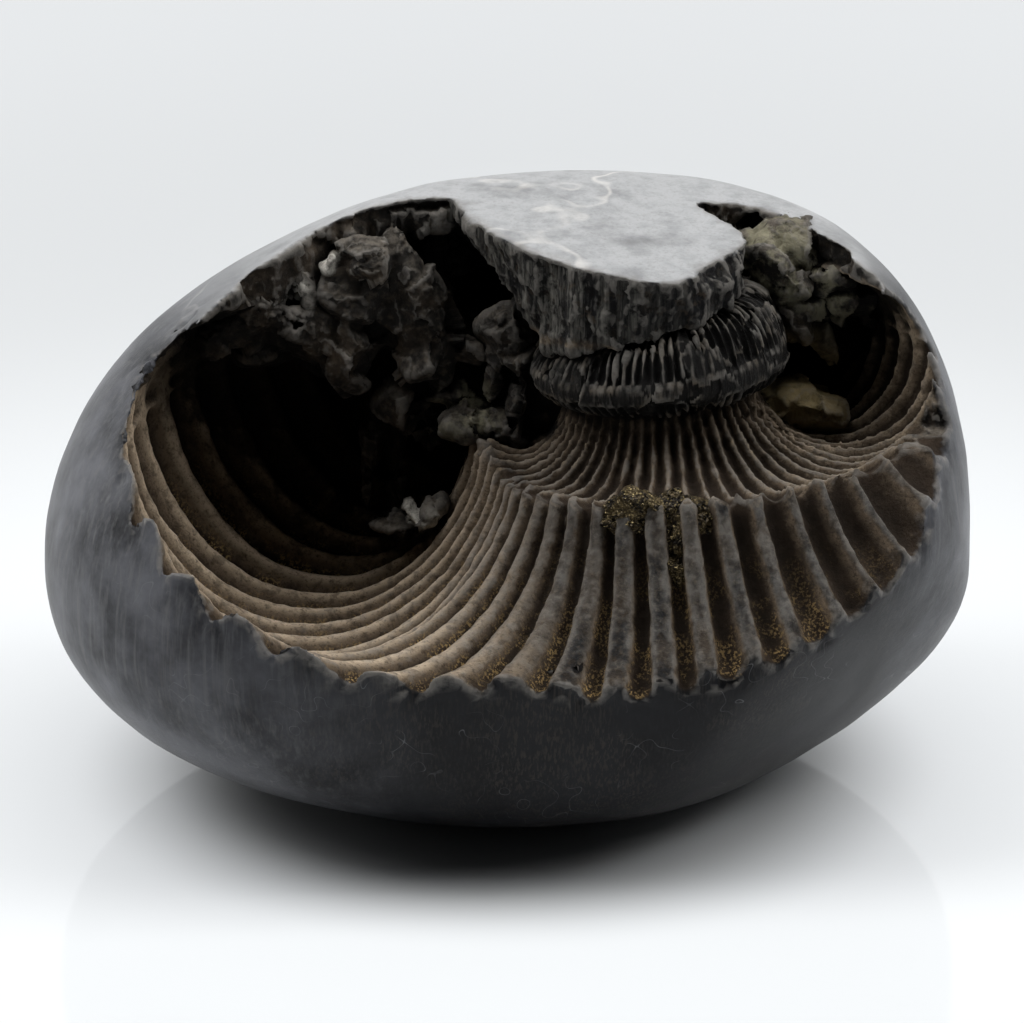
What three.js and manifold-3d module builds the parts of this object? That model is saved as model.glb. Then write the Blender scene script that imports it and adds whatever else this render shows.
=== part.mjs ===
// A shaligram: a black river pebble, worn open over the mould of a coiled ammonite.
// Millimetres, +Z up. The worn mouth faces -Y and the pebble rests on a small flat spot.
// The origin is at the middle of its footprint, on the surface that it rests on.

import * as THREE from "three";
import { mergeVertices } from "three/addons/utils/BufferGeometryUtils.js";
import Module from "manifold-3d";

const wasm = await Module();
wasm.setup();

const { cos, sin, abs, max, min, exp, floor, PI } = Math;
const radians = THREE.MathUtils.degToRad;
const lerp = THREE.MathUtils.lerp;
const smoothstep = THREE.MathUtils.smoothstep;

// The pebble's driving sizes. waist is the height of its widest section, and lean moves its top to +X.
const PEBBLE = {
  halfWidth: 55,
  frontDepth: 47,
  backDepth: 43,
  rise: 46,
  fall: 28,
  waist: 26.8,
  squareness: 2.15,
  lean: 11,
  detail: 7,
};

// Faces ground nearly flat: outward normal, distance from the pebble's middle, and how softly they turn.
const GROUND_FACES = [
  { normal: [0.1, -0.97, -0.2], distance: 41, softness: 5 },
  { normal: [0.62, -0.6, -0.5], distance: 43, softness: 5 },
  { normal: [0.05, -0.15, 0.99], distance: 41.5, softness: 3 },
];

// The ammonite's own frame: its axis stands here, at the height of the shell's middle plane,
// and its right side is tipped up.
const AXIS = { x: 17.8, y: -3, z: 52, tip: radians(6) };

// A whorl is a tube round the axis. Each station is its section at one bearing, counted from +X
// towards +Y: bearing, centre from the axis, half width, drop below and rise above the middle plane.
// ribStep is the angle from rib to rib, ribAt the bearing of one of them, and ribShape its profile:
// share of the step, and how far the rib stands there. sides are the section's points on its lower
// and its upper half.
const OUTER_WHORL = {
  stations: [
    [124, 29, 9, 15, 4],
    [150, 36, 15.5, 21, 5],
    [170, 40, 17.5, 24, 8],
    [185, 41.2, 20.3, 25, 14],
    [205, 42.2, 22, 25, 15],
    [222, 43.2, 22, 21.5, 16],
    [240, 44.2, 22, 22, 18],
    [258, 45.3, 21, 27.3, 20],
    [275, 46.2, 21, 28.4, 20],
    [300, 47.8, 21.2, 26.8, 20],
    [316, 48.8, 21.3, 23, 18],
    [330, 49.8, 21.4, 15.5, 12],
    [350, 51.5, 21.5, 9, 8],
  ],
  ribStep: 9.4,
  ribAt: 271,
  ribDepth: 1.6,
  ribShape: [
    [-0.05, 1],
    [0.24, 0],
    [0.66, 0],
  ],
  sides: [11, 4],
};
const INNER_WHORL = {
  stations: [
    [165, 16.5, 5.5, 8.5, 6],
    [203, 18, 6.8, 9.3, 7],
    [240, 19, 8, 9.8, 8],
    [270, 19.8, 8.3, 10, 8],
    [300, 21, 9.5, 10.6, 8],
    [330, 22, 10.8, 11.2, 8],
    [345, 21.5, 10.8, 11.6, 8],
    [365, 19.5, 8.8, 11.4, 8],
    [390, 18.5, 7.6, 11, 7],
    [420, 18, 7, 10, 6],
  ],
  ribStep: 5.6,
  ribAt: 271,
  ribDepth: 0.75,
  ribShape: [
    [0, 1],
    [0.5, 0],
  ],
  sides: [8, 3],
};
const CORE_WHORL = {
  stations: [
    [100, 10.2, 4.7, 4, 4],
    [270, 10.3, 4.8, 4.1, 4.1],
    [440, 10.4, 4.9, 4.2, 4.2],
  ],
  ribStep: 5.6,
  ribAt: 270,
  ribDepth: -0.4,
  ribShape: [
    [0, 1],
    [0.5, 0],
  ],
  sides: [4, 3],
};

// The mouth: all inside this outline, seen from above, and above its floor is gone.
// The floor is a profile round the axis: radius, and height above the shell's middle plane.
const MOUTH_OUTLINE = [
  [-9, 5],
  [-16, 4.5],
  [-24, 1.5],
  [-31, -4],
  [-36, -10],
  [-37, -22],
  [-44, -70],
  [80, -70],
  [80, -15],
  [50, -12],
  [45, -9],
  [41, -4],
  [37, 1],
  [32.5, 5.5],
  [28, 8],
  [23, 7],
  [17, 3],
  [0, 7],
];
const MOUTH_FLOOR = [
  [0, 3],
  [13, 3],
  [16, 0],
  [19, -5],
  [22, -8.8],
  [120, -9],
  [120, 50],
  [0, 50],
];

// The plug over the core: the radii of its top edge round its middle, in even steps from +X, its foot,
// and the slanting face where its front right corner has broken off.
const PLUG = {
  x: 16,
  y: -1,
  topRadii: [11.5, 9.6, 9.3, 14, 20, 24, 24, 25, 20, 16.8, 15.3, 14.2, 15.4, 15.4, 14.6, 12.7],
  top: 80,
  footRadius: 9.3,
  foot: { x: 18.3, y: -3.5, z: 55 },
  height: 12,
  chip: { at: [24.2, -12, 63.6], normal: [0.6, -0.5, 0.62] },
};

// Broken rock: middle, half sizes, and the angle by which its top is turned to +X.
const RUBBLE = [
  { at: [-15.5, 7, 60], half: [6, 4.8, 9.5], turn: -24 },
  { at: [-21.5, 5, 57.5], half: [6, 5, 6], turn: 30 },
  { at: [-28.5, 2, 53.5], half: [8, 5.5, 5.5], turn: -28 },
  { at: [-18, 8.5, 52], half: [9, 5.5, 6], turn: 12 },
  { at: [-8.5, 4.5, 51], half: [8, 5, 3.6], turn: -12 },
  { at: [-6, 4, 46.5], half: [6.5, 5, 4], turn: 15 },
  { at: [-2.5, -1, 44.6], half: [4, 3.6, 2.4], turn: 5 },
  { at: [0.5, 2.5, 52], half: [3.4, 4, 9], turn: 6 },
  { at: [-11, 1.5, 30.2], half: [6, 3.2, 2.4], turn: 8 },
  { at: [31.5, 9, 62], half: [4.5, 4, 6.5], turn: -15 },
  { at: [38, 8, 60], half: [4.2, 5, 6], turn: -25 },
  { at: [36.5, 7, 54.5], half: [3, 3.4, 6.5], turn: -14 },
  { at: [33, 6, 45.5], half: [7.5, 5, 4.5], turn: 12 },
];

// Hollows behind the mouth's edge, under the roof.
const HOLLOWS = [
  { at: [-4, 9, 57.5], half: [9, 8, 7], turn: 10 },
  { at: [33, 7, 53], half: [9, 7, 7], turn: 0 },
];

// The crust of pyrite crystals that stands on the ledge between the two moulds.
const CRUST = [
  { at: [14.8, -26.3, 41.8], half: [4.2, 2.4, 2.3], turn: 6 },
  { at: [20, -26.8, 41.6], half: [4, 2.6, 2.6], turn: -10 },
  { at: [19, -28.5, 37.8], half: [2.4, 2, 4.2], turn: 12 },
];
const CRUST_GAP = 0.3;

// A closed geometry from rings of points, each end closed with a fan.
function loft(rings) {
  const count = rings[0].length;
  const centreOf = (ring) => ring.reduce((sum, p) => sum.add(p), new THREE.Vector3()).divideScalar(count);
  const points = [...rings.flat(), centreOf(rings[0]), centreOf(rings.at(-1))];
  const last = (rings.length - 1) * count;
  const index = [];
  for (let i = 0; i < count; i++) {
    const j = (i + 1) % count;
    index.push(rings.length * count, j, i, rings.length * count + 1, last + i, last + j);
    for (let row = 0; row < last; row += count)
      index.push(row + i, row + j, row + count + i, row + j, row + count + j, row + count + i);
  }
  const geometry = new THREE.BufferGeometry().setFromPoints(points);
  geometry.setIndex(index);
  return geometry;
}

// The closed solid of a geometry, turned right side out.
function solid(geometry) {
  const bare = geometry.clone();
  bare.deleteAttribute("normal");
  bare.deleteAttribute("uv");
  const merged = mergeVertices(bare, 1e-4);
  const triVerts = new Uint32Array(merged.index.array);
  const vertProperties = merged.attributes.position.array;
  const made = new wasm.Manifold(new wasm.Mesh({ numProp: 3, vertProperties, triVerts }));
  if (made.volume() > 0) return made;
  for (let i = 0; i < triVerts.length; i += 3)
    [triVerts[i + 1], triVerts[i + 2]] = [triVerts[i + 2], triVerts[i + 1]];
  return new wasm.Manifold(new wasm.Mesh({ numProp: 3, vertProperties, triVerts }));
}

// Moves p back where it stands out past a ground face.
function grind(p, { normal, distance, softness }) {
  const n = new THREE.Vector3(...normal).normalize();
  const past = p.dot(n) - (distance - softness);
  if (past > 0) p.addScaledVector(n, softness * (1 - exp(-past / softness)) - past);
}

// The point of the pebble's surface in one direction from its middle.
function pebblePoint(direction) {
  const { halfWidth, frontDepth, backDepth, rise, fall, waist, squareness, lean } = PEBBLE;
  const d = direction.clone().normalize();
  const length = [d.x, d.y, d.z].reduce((sum, c) => sum + abs(c) ** squareness, 0) ** (-1 / squareness);
  const depth = d.y > 0 ? backDepth : frontDepth;
  const height = d.z > 0 ? rise : fall;
  const p = new THREE.Vector3(halfWidth * d.x, depth * d.y, height * d.z).multiplyScalar(length);
  if (p.z > 0) p.x += lean * (p.z / rise) ** 2;
  GROUND_FACES.forEach((face) => grind(p, face));
  p.z = max(p.z + waist, 0);
  return p;
}

function pebble() {
  const geometry = new THREE.IcosahedronGeometry(1, PEBBLE.detail);
  const position = geometry.attributes.position;
  for (let i = 0; i < position.count; i++) {
    const p = pebblePoint(new THREE.Vector3().fromBufferAttribute(position, i));
    position.setXYZ(i, p.x, p.y, p.z);
  }
  return solid(geometry);
}

// The ammonite's frame in the pebble's.
const shellFrame = new THREE.Matrix4().makeRotationY(-AXIS.tip).setPosition(AXIS.x, AXIS.y, AXIS.z);

// Ribs stand full on the lower half of a whorl's section and fade out above its middle.
function ribFade(section) {
  return smoothstep(sin(section), -0.3, 0.15);
}

// A whorl's section at a bearing, between its stations.
function sectionAt(stations, bearing) {
  const next = max(1, stations.findIndex(([at]) => at >= bearing));
  const [start, end] = [stations[next - 1], stations[next]];
  const t = smoothstep(bearing, start[0], end[0]);
  const [, centre, halfWidth, drop, rise] = start.map((value, k) => lerp(value, end[k], t));
  return { centre, halfWidth, drop, rise };
}

// The bearings at which a whorl has a ring of points, and how far its rib stands there, from 0 to 1.
function ribColumns({ stations, ribStep, ribAt, ribShape }) {
  const [from, to] = [stations[0][0], stations.at(-1)[0]];
  const columns = [];
  for (let k = floor((from - ribAt) / ribStep); k <= (to - ribAt) / ribStep; k++)
    for (const [share, stand] of ribShape) columns.push({ bearing: ribAt + (k + share) * ribStep, stand });
  return columns.filter(({ bearing }) => bearing > from && bearing < to);
}

// The angles of a section's points: 0 is its inner edge, and the first half turn is its lower side.
function sectionAngles([lower, upper]) {
  const half = (count) => Array.from({ length: count }, (_, i) => (PI * i) / count);
  return [...half(lower), ...half(upper).map((angle) => PI + angle)];
}

function whorl(w) {
  const rings = ribColumns(w).map(({ bearing, stand }) => {
    const { centre, halfWidth, drop, rise } = sectionAt(w.stations, bearing);
    const turn = radians(bearing);
    return sectionAngles(w.sides).map((angle) => {
      const swell = w.ribDepth * stand * ribFade(angle);
      const radius = centre - (halfWidth + swell) * cos(angle);
      const height = -((sin(angle) > 0 ? drop : rise) + swell) * sin(angle);
      return new THREE.Vector3(radius * cos(turn), radius * sin(turn), height).applyMatrix4(shellFrame);
    });
  });
  return solid(loft(rings));
}

function mouth() {
  const shape = new THREE.Shape(MOUTH_OUTLINE.map(([x, y]) => new THREE.Vector2(x, y)));
  const outline = new THREE.ExtrudeGeometry(shape, { depth: 60, bevelEnabled: false }).translate(0, 0, 30);
  const profile = MOUTH_FLOOR.map(([radius, height]) => new THREE.Vector2(radius, height));
  const bowl = new THREE.LatheGeometry([...profile, profile[0]], 48).rotateX(PI / 2);
  return solid(outline).intersect(solid(bowl.applyMatrix4(shellFrame)));
}

// A big block with one face through a point, square to a direction.
function cutter({ at, normal }) {
  const size = 30;
  const block = new THREE.BoxGeometry(size, size, size).translate(0, 0, size / 2);
  const turn = new THREE.Quaternion().setFromUnitVectors(
    new THREE.Vector3(0, 0, 1),
    new THREE.Vector3(...normal).normalize(),
  );
  return solid(block.applyQuaternion(turn).translate(...at));
}

function plug() {
  const { x, y, topRadii, top, footRadius, foot, height } = PLUG;
  const steps = 4;
  const rings = [];
  for (let i = 0; i <= steps; i++) {
    const open = sin((PI / 2) * (i / steps)) ** 0.8;
    const z = foot.z + (height * i) / steps;
    rings.push(
      topRadii.map((edge, j) => {
        const angle = (2 * PI * j) / topRadii.length;
        const [c, s] = [cos(angle), sin(angle)];
        const atTop = new THREE.Vector3(x + edge * c, y + edge * s, z);
        const atFoot = new THREE.Vector3(foot.x + footRadius * c, foot.y + footRadius * s, z);
        return atFoot.lerp(atTop, open);
      }),
    );
  }
  rings.push(rings.at(-1).map((p) => new THREE.Vector3(p.x, p.y, top)));
  return solid(loft(rings)).subtract(cutter(PLUG.chip));
}

// One angular lump, with its half sizes grown by a gap.
function lump({ at, half, turn }, grown = 0) {
  const geometry = new THREE.IcosahedronGeometry(1, 1);
  const position = geometry.attributes.position;
  for (let i = 0; i < position.count; i++) {
    const [x, y, z] = [position.getX(i), position.getY(i), position.getZ(i)];
    const uneven = 1 + 0.13 * sin(5 * x + at[0]) * cos(4 * y + at[1]) + 0.08 * sin(6 * z + at[2]);
    const [a, b, c] = half.map((size) => size * uneven + grown);
    position.setXYZ(i, a * x, b * y, c * z);
  }
  return solid(geometry.rotateY(radians(turn)).translate(...at));
}

const joined = (lumps, grown) => wasm.Manifold.union(lumps.map((each) => lump(each, grown)));

// The largest shell of a solid: crumbs that rock would leave loose or shut in are let go.
function largest(made) {
  return made.decompose().reduce((best, each) => (each.volume() > best.volume() ? each : best));
}

function stone() {
  const whole = pebble();
  const made = whole
    .subtract(whorl(OUTER_WHORL))
    .subtract(whorl(INNER_WHORL))
    .subtract(mouth())
    .subtract(joined(HOLLOWS))
    .add(joined(RUBBLE).intersect(whole))
    .add(plug().intersect(whole))
    .add(whorl(CORE_WHORL))
    .subtract(joined(CRUST, CRUST_GAP));
  return largest(made);
}

// A named mesh of a solid.
function node(name, made, material) {
  const { numProp, vertProperties, triVerts, numVert } = made.getMesh();
  const positions = new Float32Array(numVert * 3);
  for (let i = 0; i < numVert; i++)
    positions.set(vertProperties.subarray(i * numProp, i * numProp + 3), i * 3);
  const geometry = new THREE.BufferGeometry();
  geometry.setAttribute("position", new THREE.BufferAttribute(positions, 3));
  geometry.setIndex(new THREE.BufferAttribute(triVerts, 1));
  geometry.computeVertexNormals();
  const mesh = new THREE.Mesh(geometry, material);
  mesh.name = name;
  return mesh;
}

const blackStone = new THREE.MeshStandardMaterial({ color: 0x34363b, roughness: 0.55, metalness: 0 });
const pyrite = new THREE.MeshStandardMaterial({ color: 0xa89256, roughness: 0.4, metalness: 0.9 });

const shaligram = new THREE.Group();
shaligram.add(node("stone", stone(), blackStone));
shaligram.add(node("pyrite_crust", joined(CRUST), pyrite));

export default shaligram;
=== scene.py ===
"""Shaligram: a dark river pebble, worn open over the ribbed mould of a coiled ammonite.

Run as a script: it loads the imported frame, makes each finished piece over it, and sets the stage.
Shapes are worked out in millimetres and turned to metres when a piece is finished.
"""

from functools import partial
from math import cos, pi, radians, sin

import bmesh
import bpy
import numpy as np
from bpy.props import FloatProperty, FloatVectorProperty, IntProperty, PointerProperty
from mathutils import Matrix, Vector, noise


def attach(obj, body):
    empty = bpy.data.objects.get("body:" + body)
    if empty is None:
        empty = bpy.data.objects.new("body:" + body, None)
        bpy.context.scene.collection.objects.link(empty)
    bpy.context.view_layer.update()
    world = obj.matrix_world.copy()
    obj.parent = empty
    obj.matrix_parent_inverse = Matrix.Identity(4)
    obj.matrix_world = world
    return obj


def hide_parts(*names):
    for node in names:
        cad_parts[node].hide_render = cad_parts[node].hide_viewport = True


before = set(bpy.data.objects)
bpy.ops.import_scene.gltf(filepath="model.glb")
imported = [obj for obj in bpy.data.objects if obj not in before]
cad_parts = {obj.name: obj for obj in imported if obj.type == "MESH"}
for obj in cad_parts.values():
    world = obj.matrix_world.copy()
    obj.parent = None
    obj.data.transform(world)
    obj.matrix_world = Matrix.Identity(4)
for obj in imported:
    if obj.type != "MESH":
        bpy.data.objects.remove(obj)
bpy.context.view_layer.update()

bl_info = {
    "name": "Shaligram",
    "version": (1, 0, 0),
    "blender": (4, 5, 0),
    "location": "3D View > Sidebar > Shaligram",
    "description": "A river pebble worn open over the mould of a coiled ammonite",
    "category": "Object",
}

MM = 0.001

# The pebble and the faces ground nearly flat on it: outward normal, distance from its middle, softness.
PEBBLE_SQUARENESS = 2.15
GROUND_FACES = [
    ((0.1, -0.97, -0.2), 41, 5),
    ((0.62, -0.6, -0.5), 43, 5),
    ((0.05, -0.15, 0.99), 41.5, 3),
]

# The ammonite's own frame: its axis, at the height of the shell's middle plane, tipped up on the right.
AXIS = Vector((17.8, -3, 52))
TIP = radians(6)
SHELL_FRAME = Matrix.Translation(AXIS) @ Matrix.Rotation(-TIP, 4, "Y")

# A whorl's stations: bearing in degrees from +X towards +Y, centre from the axis, half width,
# drop below and rise above the middle plane.
OUTER_STATIONS = [
    (124, 29, 9, 15, 4),
    (150, 36, 15.5, 21, 5),
    (170, 40, 17.5, 24, 8),
    (185, 41.2, 20.3, 25, 14),
    (205, 42.2, 22, 25, 15),
    (222, 43.2, 22, 21.5, 16),
    (240, 44.2, 22, 22, 18),
    (258, 45.3, 21, 27.3, 20),
    (275, 46.2, 21, 28.4, 20),
    (300, 47.8, 21.2, 26.8, 20),
    (316, 48.8, 21.3, 23, 18),
    (330, 49.8, 21.4, 15.5, 12),
    (350, 51.5, 21.5, 9, 8),
]
INNER_STATIONS = [
    (165, 16.5, 5.5, 8.5, 6),
    (203, 18, 6.8, 9.3, 7),
    (240, 19, 8, 9.8, 8),
    (270, 19.8, 8.3, 10, 8),
    (300, 21, 9.5, 10.6, 8),
    (330, 22, 10.8, 11.2, 8),
    (345, 21.5, 10.8, 11.6, 8),
    (365, 19.5, 8.8, 11.4, 8),
    (390, 18.5, 7.6, 11, 7),
    (420, 18, 7, 10, 6),
]
CORE_STATIONS = [
    (100, 10.2, 4.7, 3.2, 5),
    (180, 10.2, 4.8, 3.2, 5),
    (270, 10.3, 4.8, 3.2, 6.4),
    (330, 10.5, 4.7, 3.4, 7.6),
    (380, 10.6, 4.6, 3.6, 7.8),
    (440, 10.4, 4.6, 3.6, 6),
]
REACH = 80.0  # the largest length that a station's curve can hold

# The ribs of each whorl: bearing, ribs counted from the front, half width of a groove as a share of the
# step, how cusped the groove is, how much of a round flute it is, its depth, and the lag of its inner end
# in ribs.
OUTER_RIBS = [
    (124, -22.4, 0.26, 1.0, 0.0, 2.0, 0.0),
    (180, -13.8, 0.26, 1.0, 0.0, 2.2, 0.0),
    (215, -8, 0.26, 0.9, 0.0, 2.2, 0.0),
    (245, -3.2, 0.25, 0.5, 0.0, 2.2, 0.0),
    (271, 0.0, 0.29, 0.1, 0.3, 2.1, 0.1),
    (285, 1.5, 0.36, 0.0, 0.6, 2.1, 0.3),
    (300, 3.05, 0.42, 0.0, 0.8, 2.2, 0.5),
    (330, 6.2, 0.45, 0.0, 0.9, 2.3, 0.9),
    (350, 8.3, 0.45, 0.0, 0.9, 2.3, 0.9),
]
INNER_RIBS = [
    (165, -15.9, 0.47, 0.0, 0.8, 1.2, -0.6),
    (270, 0.0, 0.46, 0.0, 0.7, 1.2, -0.6),
    (330, 9.1, 0.46, 0.0, 0.8, 1.4, -0.8),
    (420, 22.7, 0.46, 0.0, 0.8, 1.4, -0.8),
]
CORE_RIBS = [
    (100, -37.8, 0.44, 0.0, 0.9, -0.65, -1.4),
    (270, 0.0, 0.44, 0.0, 0.9, -0.65, -1.4),
    (440, 37.8, 0.44, 0.0, 0.9, -0.65, -1.4),
]
MOST_RIBS = 80.0  # the largest count that a rib curve can hold, on either side of the front

# The mouth, seen from above, and its floor: radius from the axis and height above the middle plane.
MOUTH_OUTLINE = [
    (-9, 5), (-16, 4.5), (-24, 1.5), (-31, -4), (-36, -10), (-37, -22), (-44, -70), (80, -70), (80, -15),
    (50, -12), (45, -9), (41, -4), (37, 1), (32.5, 5.5), (28, 8), (23, 7), (17, 3), (0, 7),
]
MOUTH_FLOOR = [(0, 3), (13, 3), (16, 0), (19, -5), (22, -8.8), (120, -9), (120, 50), (0, 50)]

# The plug over the core: the radii of its top edge round its middle, in even steps from +X.
PLUG_MIDDLE = (16, -1)
PLUG_TOP_RADII = (11.5, 9.6, 9.3, 14, 20, 24, 24, 25, 20, 16.8, 15.3, 14.2, 15.4, 15.4, 14.6, 12.7)
PLUG_FOOT = (16.6, -4, 58)
PLUG_FOOT_RADII = (
    10.8, 10.6, 10.6, 10.8, 11.2, 11.6, 12.2, 12.6, 12.6, 12.8, 12.9, 12.2, 11.2, 10.8, 10.9, 10.8,
)
PLUG_FOOT_SLOPE = 0.27
PLUG_TOP_LEVEL = 67
PLUG_TOP = 80
PLUG_CHIP = ((24.2, -12, 63.6), (0.6, -0.5, 0.62))

# Broken rock: middle, half sizes, the angle by which its top is turned to +X.
ROCKS = [
    ((-25, 9, 55), (12, 5, 5), -22),
    ((-15, 8, 56.5), (8, 5, 8), -10),
    ((-11.2, 2.5, 56.7), (3.5, 4.6, 8.3), -17),
    ((-16.4, 3, 57.5), (4.5, 5, 6.3), -24),
    ((-18.6, 3.5, 52.7), (4.0, 4.6, 5.8), 12),
    ((-15.6, 2.4, 62.6), (3.0, 3.6, 2.2), -20),
    ((-9.3, 2.5, 51.3), (4.3, 4, 3.3), -10),
    ((-4.4, 1.5, 51.6), (3.3, 2.4, 1.1), 4),
    ((-34.6, 3, 54.1), (4.0, 5, 3.0), -38),
    ((-30.3, 4, 56.5), (6.1, 6, 4.0), -30),
    ((-25.5, 5, 54.7), (5.2, 6, 5.3), -10),
    ((-22.0, 5, 51.5), (4.0, 5, 4.0), 10),
    ((-28.5, 7, 51.1), (4.8, 5, 3.0), 10),
    ((-11.3, 4, 44.4), (3.6, 3.6, 2.8), 14),
    ((-7.2, 3.5, 45.8), (3.3, 3, 1.4), -8),
    ((-9.2, 3.5, 41.8), (2.1, 3, 2.5), 0),
    ((-5.8, 3, 46.7), (1.2, 2, 1.0), 30),
    ((-16.4, 4, 36.4), (1.1, 1.8, 7.9), 6),
    ((-13.0, 6, 36.4), (1.3, 2, 7.4), 1),
    ((-13.8, 1, 30.0), (3.6, 3.4, 1.1), 0),
    ((0.8, 0, 54.3), (3.5, 3.6, 3.7), 20),
    ((2.0, -1, 50.9), (2.1, 3, 2.5), 0),
    ((1.5, -2, 46.0), (1.1, 1.6, 4.0), 4),
    ((-1.6, -0.5, 50.3), (1.1, 1.6, 3.8), 12),
    ((-4.6, 1.5, 43.4), (3.3, 3.6, 2.0), 14),
    ((-6.5, 0, 42.2), (1.9, 2.6, 1.6), 0),
    ((-0.8, -1, 43.2), (2.6, 2.6, 1.0), 8),
    ((4.4, -4.5, 44.4), (1.4, 2, 0.8), 0),
    ((-7.2, 12, 58.6), (3.1, 4, 2.8), 0),
    ((-4.2, 12, 52.4), (2.2, 4, 3.8), -14),
    ((-9.2, 11, 62.9), (2.9, 4, 1.5), 0),
    ((31.8, 3.5, 60.6), (3.6, 4.6, 4.4), -28),
    ((36.6, 4, 61.7), (2.6, 4, 3.8), -16),
    ((40.7, 4, 58.2), (3.1, 4, 2.5), 24),
    ((42.4, 4, 55.8), (1.4, 3, 2.8), -10),
    ((26.9, 7, 64), (4.4, 4, 1.8), -6),
    ((33.3, 6, 63.8), (4.4, 4, 2.2), 24),
    ((38.8, 5, 61.4), (2.4, 4, 1.3), 40),
    ((33.6, 3.5, 55.7), (3.5, 4.2, 4.0), -24),
    ((37.4, 3, 52.3), (1.4, 2, 4.3), -34),
    ((34, 1.5, 44.8), (6.6, 5, 2.6), 6),
    ((31.1, 0, 45.2), (3.2, 4, 1.8), 8),
    ((5.5, -36.5, 25.8), (2.5, 2, 0.6), 12),
    ((7.5, -37, 27.0), (1.6, 1.8, 0.5), -30),
    ((3.5, -35.5, 26.4), (1.3, 1.8, 0.5), 8),
]
CRYSTALS = [
    ((-21.0, 0.2, 62.3), (0.8, 1.2, 0.7), 20),
    ((-20.2, 0.4, 63.2), (0.6, 1, 0.6), 0),
    ((-23.8, 0.4, 59.8), (0.7, 1.2, 1.0), -10),
    ((-23.2, 0.4, 58.1), (0.6, 1.2, 0.9), 10),
    ((-10.6, -2, 32.1), (1.1, 1.6, 0.8), -14),
    ((-8.9, -2, 32.7), (1.2, 1.8, 0.9), 20),
    ((-7.8, -1.5, 33.5), (0.7, 1.4, 0.8), 10),
    ((-11.5, -1, 33.0), (0.8, 1.4, 0.6), 10),
    ((-9.6, -3, 31.8), (1.4, 1.4, 0.5), 0),
]
# Places with sulphur-pale patches on the rock, and with tan sediment: middle and reach.
PALE_PLACES = [((31, 3, 62), 7), ((38, 3, 60), 6), ((-4, 1, 43.5), 5)]
TAN_PLACES = [((34, 1, 46), 8), ((4.4, -5, 44.6), 3)]
HOLLOWS = [
    ((-4, 9, 57.5), (9, 8, 7), 10),
    ((33, 7, 53), (9, 7, 7), 0),
]
CRUST = [
    ((14.8, -26.3, 41.8), (4.2, 2.4, 2.3), 6),
    ((20, -26.8, 41.6), (4, 2.6, 2.6), -10),
    ((19, -28.5, 37.8), (2.4, 2, 4.2), 12),
]


def linear(code):
    """The linear colour of an sRGB hex value such as #3a3c3e."""
    channels = [int(code[i : i + 2], 16) / 255 for i in (1, 3, 5)]
    return tuple(c / 12.92 if c <= 0.04045 else ((c + 0.055) / 1.055) ** 2.4 for c in channels)


# Sizes and colours that a user would change


def described(kind, rows, **choices):
    """Properties of one kind by name, from rows of name, description and default."""
    return {
        name: kind(name=name.replace("_", " ").title(), description=told, default=value, **choices)
        for name, told, value in rows
    }


class PebbleSizes(bpy.types.PropertyGroup):
    __annotations__ = described(FloatProperty, [
        ("half_width", "Half the pebble's length along X", 0.055),
        ("front_depth", "Reach to the front, before grinding", 0.047),
        ("back_depth", "Reach to the back", 0.043),
        ("rise", "Height above the waist, before grinding", 0.046),
        ("fall", "Depth below the waist", 0.028),
        ("waist", "Height of the widest section", 0.0268),
        ("lean", "How far the top leans to +X", 0.011),
    ], unit="LENGTH")


class MouldSizes(bpy.types.PropertyGroup):
    __annotations__ = described(FloatProperty, [
        (f"{place}_{what}", f"{told} the {place} ribs", 1.0)
        for place in ("outer", "inner", "coil")
        for what, told in (("ribs", "Closeness of"), ("depth", "Relief of"))
    ])


class WeatherSizes(bpy.types.PropertyGroup):
    __annotations__ = described(FloatProperty, [
        ("grain", "Size of the smallest modelled detail", 0.00038),
        ("roughness", "Relief on broken faces", 0.0016),
        ("chips", "Depth of the chips along the mouth's rim", 0.0007),
    ], unit="LENGTH") | described(IntProperty, [("seed", "Seed of all that is random", 7)])


class StoneColours(bpy.types.PropertyGroup):
    __annotations__ = described(FloatVectorProperty, [
        (name, told, linear(code)) for name, told, code in (
            ("skin", "River-polished surface", "#0e0e10"),
            ("pale_skin", "Rubbed patches of the skin", "#202124"),
            # cap: a painted sheen, the pale colour of the plug's up-facing top in place of the gloss it
            # catches
            ("cap", "Dusty top of the plug", "#b5b6b7"),
            ("mould", "Ribbed surface of the mould", "#232324"),
            ("silt", "Dried river silt", "#736453"),
            # dust: real pale dust in patches, and also a painted highlight on the inner ribs' crests
            ("dust", "Pale dust on the silt", "#93836c"),
            ("sand", "Golden sand in the grooves", "#a58a5c"),
            ("broken", "Unworn broken faces", "#211f1d"),
            # edge: partly edges rubbed pale, partly a painted highlight on proud edges that see the sky
            ("edge", "Edges rubbed pale", "#8a8680"),
            ("pyrite", "Tarnished crystals", "#5c4f36"),
        )
    ], subtype="COLOR")


class StageSizes(bpy.types.PropertyGroup):
    __annotations__ = {
        **described(
            FloatProperty, [("elevation", "Camera above the horizon", radians(20))], subtype="ANGLE"
        ),
        **described(FloatProperty, [("distance", "Camera from the stone's middle", 0.5)], unit="LENGTH"),
        **described(FloatProperty, [("lens", "Focal length in millimetres", 146.9)]),
    }


def settings():
    """The scene's settings for this object."""
    return bpy.context.scene.shaligram


# Meshes from numbers


def linked(name, data):
    """A new object in the scene with this data."""
    made = bpy.data.objects.new(name, data)
    bpy.context.scene.collection.objects.link(made)
    return made


def mesh_object(name, points, faces):
    """A new object from points and faces."""
    mesh = bpy.data.meshes.new(name)
    mesh.from_pydata([tuple(p) for p in points], [], faces)
    return linked(name, mesh)


def twin(shape):
    """A copy with a mesh of its own."""
    made = shape.copy()
    made.data = shape.data.copy()
    bpy.context.scene.collection.objects.link(made)
    return made


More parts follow.
